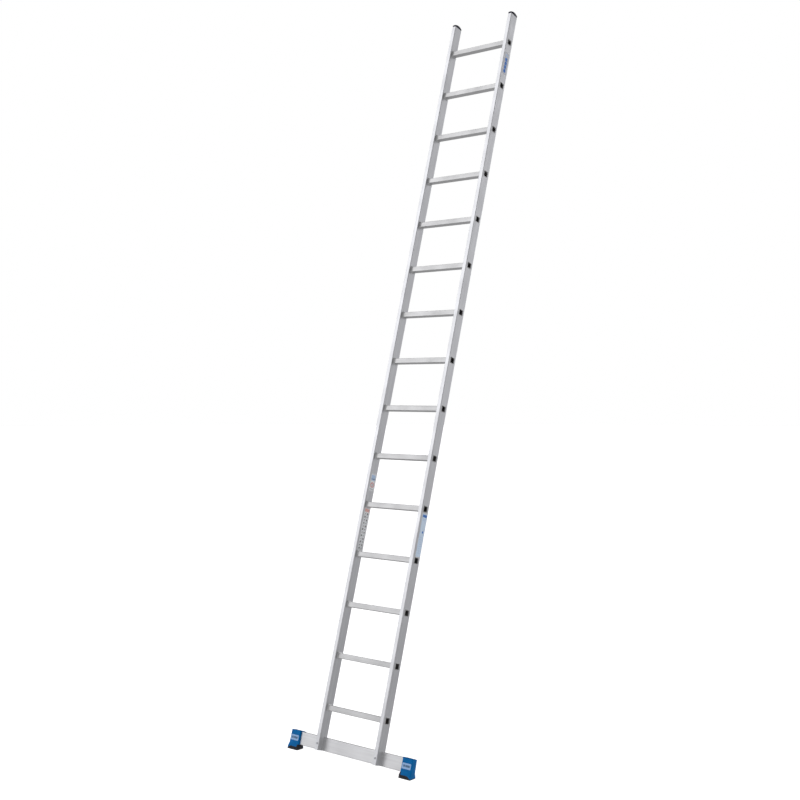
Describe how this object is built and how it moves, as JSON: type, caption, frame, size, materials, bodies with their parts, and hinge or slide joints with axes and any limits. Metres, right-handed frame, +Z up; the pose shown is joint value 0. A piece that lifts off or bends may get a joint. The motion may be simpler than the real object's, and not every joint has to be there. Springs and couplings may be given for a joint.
{
  "type": "leaning ladder",
  "caption": "Single-section aluminium leaning ladder with square rungs, a stabiliser bar let into the stiles' backs and two-component foot caps, standing at its working lean.",
  "frame": {"origin": "On the floor, in the ladder's middle plane, under the middle of its reach: the middle of the bottom of the whole bounding box. The feet stand 0.61 m in front of it.", "axes": "+Z up, +X across the ladder to the climber's right, +Y from the climber towards the wall that the ladder leans on. The stiles rise at 73.5 degrees to the floor."},
  "size_m": [0.866, 1.2892, 4.1967],
  "materials": {
    "stile_aluminium": "mill-finish extrusion, satin, with fine lengthwise drawing lines",
    "rung_aluminium": "mill-finish square tube, satin, grooved tread",
    "bar_aluminium": "mill-finish extrusion, satin",
    "zinc_steel": "zinc plated",
    "cap_blue": "moulded blue plastic, lightly textured",
    "sole_rubber": "black rubber",
    "plug_black": "moulded black plastic",
    "badge_pale": "pale plate, plain",
    "label_film": "printed film, plain blocks",
    "label_film_blue": "pale blue film, plain blocks"
  },
  "bodies": {
    "root": {"bar_bolts": "zinc_steel", "bar_nuts": "zinc_steel", "bar_washers": "zinc_steel", "bolt_sleeves": "zinc_steel", "cap_screws": "zinc_steel", "care_label": "label_film", "left_foot_badge": "badge_pale", "left_foot_cap": "cap_blue", "left_foot_sole": "sole_rubber", "left_stile": "stile_aluminium", "left_top_plug": "plug_black", "right_foot_badge": "badge_pale", "right_foot_cap": "cap_blue", "right_foot_sole": "sole_rubber", "right_stile": "stile_aluminium", "right_top_plug": "plug_black", "rung_01": "rung_aluminium", "rung_02": "rung_aluminium", "rung_03": "rung_aluminium", "rung_04": "rung_aluminium", "rung_05": "rung_aluminium", "rung_06": "rung_aluminium", "rung_07": "rung_aluminium", "rung_08": "rung_aluminium", "rung_09": "rung_aluminium", "rung_10": "rung_aluminium", "rung_11": "rung_aluminium", "rung_12": "rung_aluminium", "rung_13": "rung_aluminium", "rung_14": "rung_aluminium", "rung_15": "rung_aluminium", "size_label": "label_film_blue", "stabiliser_bar": "bar_aluminium", "steps_label": "label_film", "top_label": "label_film_blue"}
  },
  "joints": []
}
